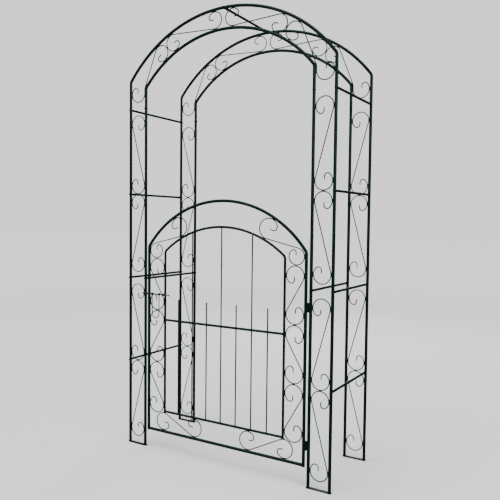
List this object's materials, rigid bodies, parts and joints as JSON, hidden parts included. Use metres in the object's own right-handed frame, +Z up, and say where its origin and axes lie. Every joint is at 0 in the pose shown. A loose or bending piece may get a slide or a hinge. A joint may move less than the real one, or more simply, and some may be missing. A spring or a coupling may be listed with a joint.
{
  "type": "garden arch with gate",
  "caption": "Round-topped metal garden arch with scrolled side panels and a hinged, arched gate that closes with a sliding bolt.",
  "frame": {"origin": "on the ground, in the middle of the arch", "axes": "+X to the right seen from the gate side, +Y from the gate through the arch, +Z up"},
  "size_m": [1.17, 0.4626, 2.2],
  "materials": {
    "tube": "satin dark green powder coat on steel tube",
    "wire": "satin dark green powder coat on steel wire",
    "fittings": "satin dark green powder coat on steel fittings",
    "latch": "satin dark green powder coat, worn where the bolt slides",
    "fasteners": "dark coated steel screw heads and nuts"
  },
  "bodies": {
    "arch_frame": {"front_left_lower_outer_tube": "tube", "front_left_lower_inner_tube": "tube", "front_left_lower_scrolls": "wire", "front_left_upper_outer_tube": "tube", "front_left_upper_inner_tube": "tube", "front_left_upper_scrolls": "wire", "front_left_foot_bar": "tube", "front_right_lower_outer_tube": "tube", "front_right_lower_inner_tube": "tube", "front_right_lower_scrolls": "wire", "front_right_upper_outer_tube": "tube", "front_right_upper_inner_tube": "tube", "front_right_upper_scrolls": "wire", "front_right_foot_bar": "tube", "back_left_lower_outer_tube": "tube", "back_left_lower_inner_tube": "tube", "back_left_lower_scrolls": "wire", "back_left_upper_outer_tube": "tube", "back_left_upper_inner_tube": "tube", "back_left_upper_scrolls": "wire", "back_left_foot_bar": "tube", "back_right_lower_outer_tube": "tube", "back_right_lower_inner_tube": "tube", "back_right_lower_scrolls": "wire", "back_right_upper_outer_tube": "tube", "back_right_upper_inner_tube": "tube", "back_right_upper_scrolls": "wire", "back_right_foot_bar": "tube", "front_outer_hoop": "tube", "front_inner_hoop": "tube", "front_crown_scrolls": "wire", "back_outer_hoop": "tube", "back_inner_hoop": "tube", "back_crown_scrolls": "wire", "left_side_rungs": "tube", "right_side_rungs": "tube", "inner_rungs": "tube", "crown_rung": "tube", "rung_screws": "fasteners", "joint_screws": "fasteners", "joint_nuts": "fasteners", "hinge_leg_halves": "fittings", "latch_keeper": "fittings"},
    "gate": {"gate_outer_hoop": "tube", "gate_bottom_rail": "tube", "gate_inner_hoop": "tube", "gate_inner_rail": "tube", "gate_cross_rail": "tube", "gate_tall_bars": "tube", "gate_short_bars": "tube", "gate_hinge_side_scrolls": "wire", "gate_latch_side_scrolls": "wire", "gate_corner_scrolls": "wire", "gate_bottom_scrolls": "wire", "hinge_gate_halves": "fittings", "latch_guides": "fittings"},
    "latch_bolt": {"latch_bolt": "latch"},
    "latch_handle": {"latch_handle": "latch"}
  },
  "joints": [
    {"name": "gate_swing", "type": "hinge", "parent": "arch_frame", "child": "gate", "pos_m": [0.46175, -0.215, 0.81], "axis": [0, 0, 1], "range_deg": [-80, 85]},
    {"name": "latch_slide", "type": "slide", "parent": "gate", "child": "latch_bolt", "axis": [-1, 0, 0], "range_m": [-0.01, 0.016]},
    {"name": "handle_lift", "type": "hinge", "parent": "latch_bolt", "child": "latch_handle", "pos_m": [-0.3965, -0.22755, 0.81], "axis": [-1, 0, 0], "range_deg": [0, 165]}
  ]
}
